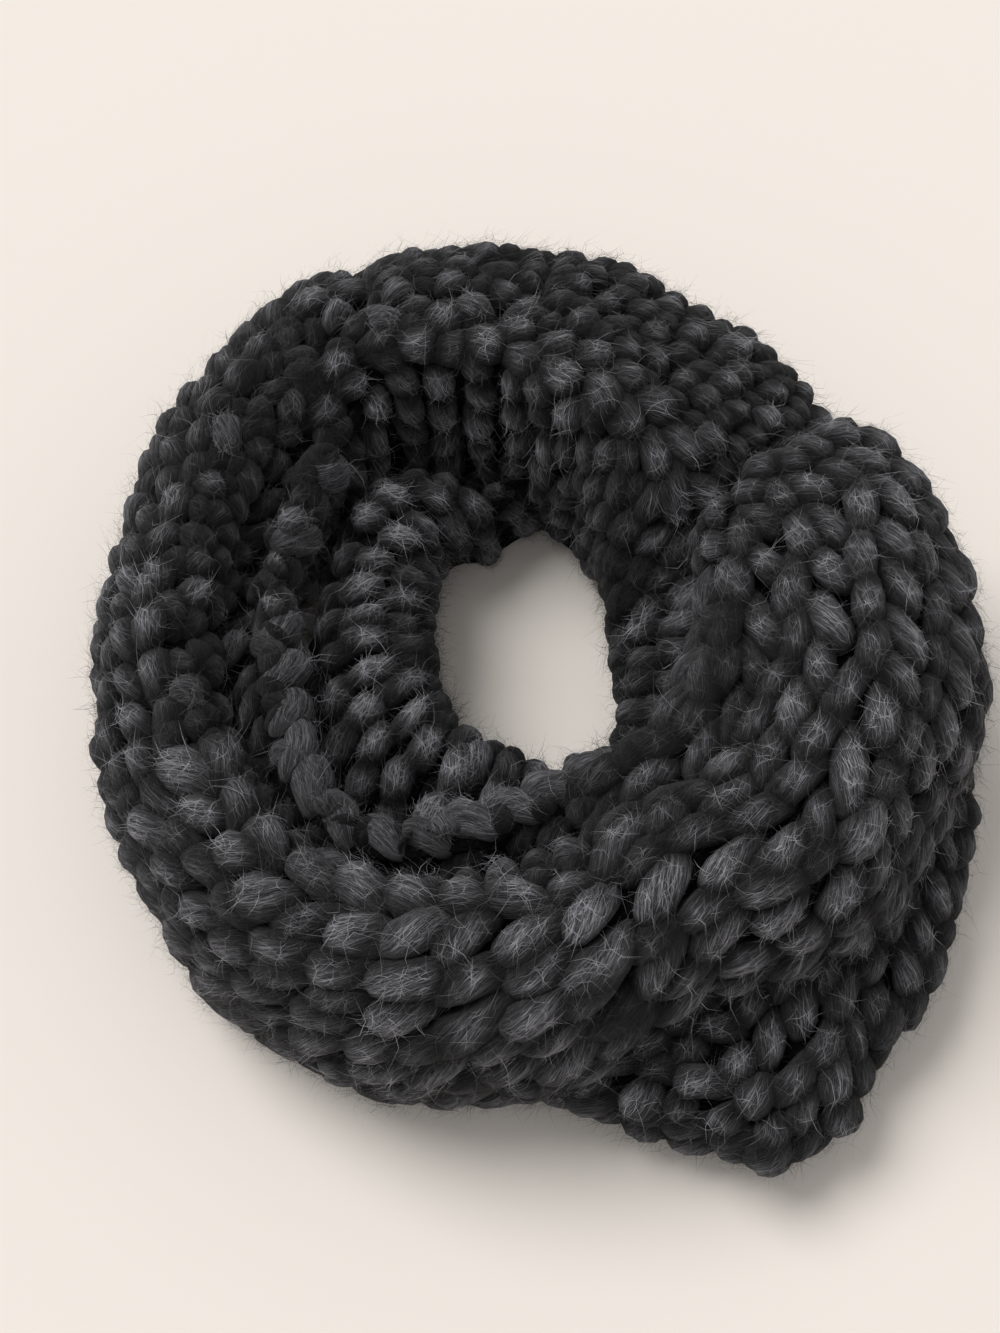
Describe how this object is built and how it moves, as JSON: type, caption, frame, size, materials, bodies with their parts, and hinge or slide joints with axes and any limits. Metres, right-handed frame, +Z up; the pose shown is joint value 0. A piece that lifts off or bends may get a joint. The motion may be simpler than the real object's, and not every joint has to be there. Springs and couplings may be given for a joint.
{
  "type": "infinity scarf",
  "caption": "Chunky knitted infinity scarf, wound twice into a soft ring round an open neck hole and laid down flat.",
  "frame": {"origin": "middle of the ring's box, on the surface that the scarf lies on", "axes": "+Z up from that surface; -Y towards the side where the folded corner of the lower turn sticks out; +X to the right seen from there"},
  "size_m": [0.3438, 0.3798, 0.111],
  "materials": {
    "charcoal_wool": "thick single-ply charcoal wool roving, matt, hairy, with a soft sheen of pale fibres"
  },
  "bodies": {
    "root": {"front_wrap": "charcoal_wool", "back_wrap": "charcoal_wool", "under_wrap": "charcoal_wool", "inner_wrap": "charcoal_wool"}
  },
  "joints": []
}
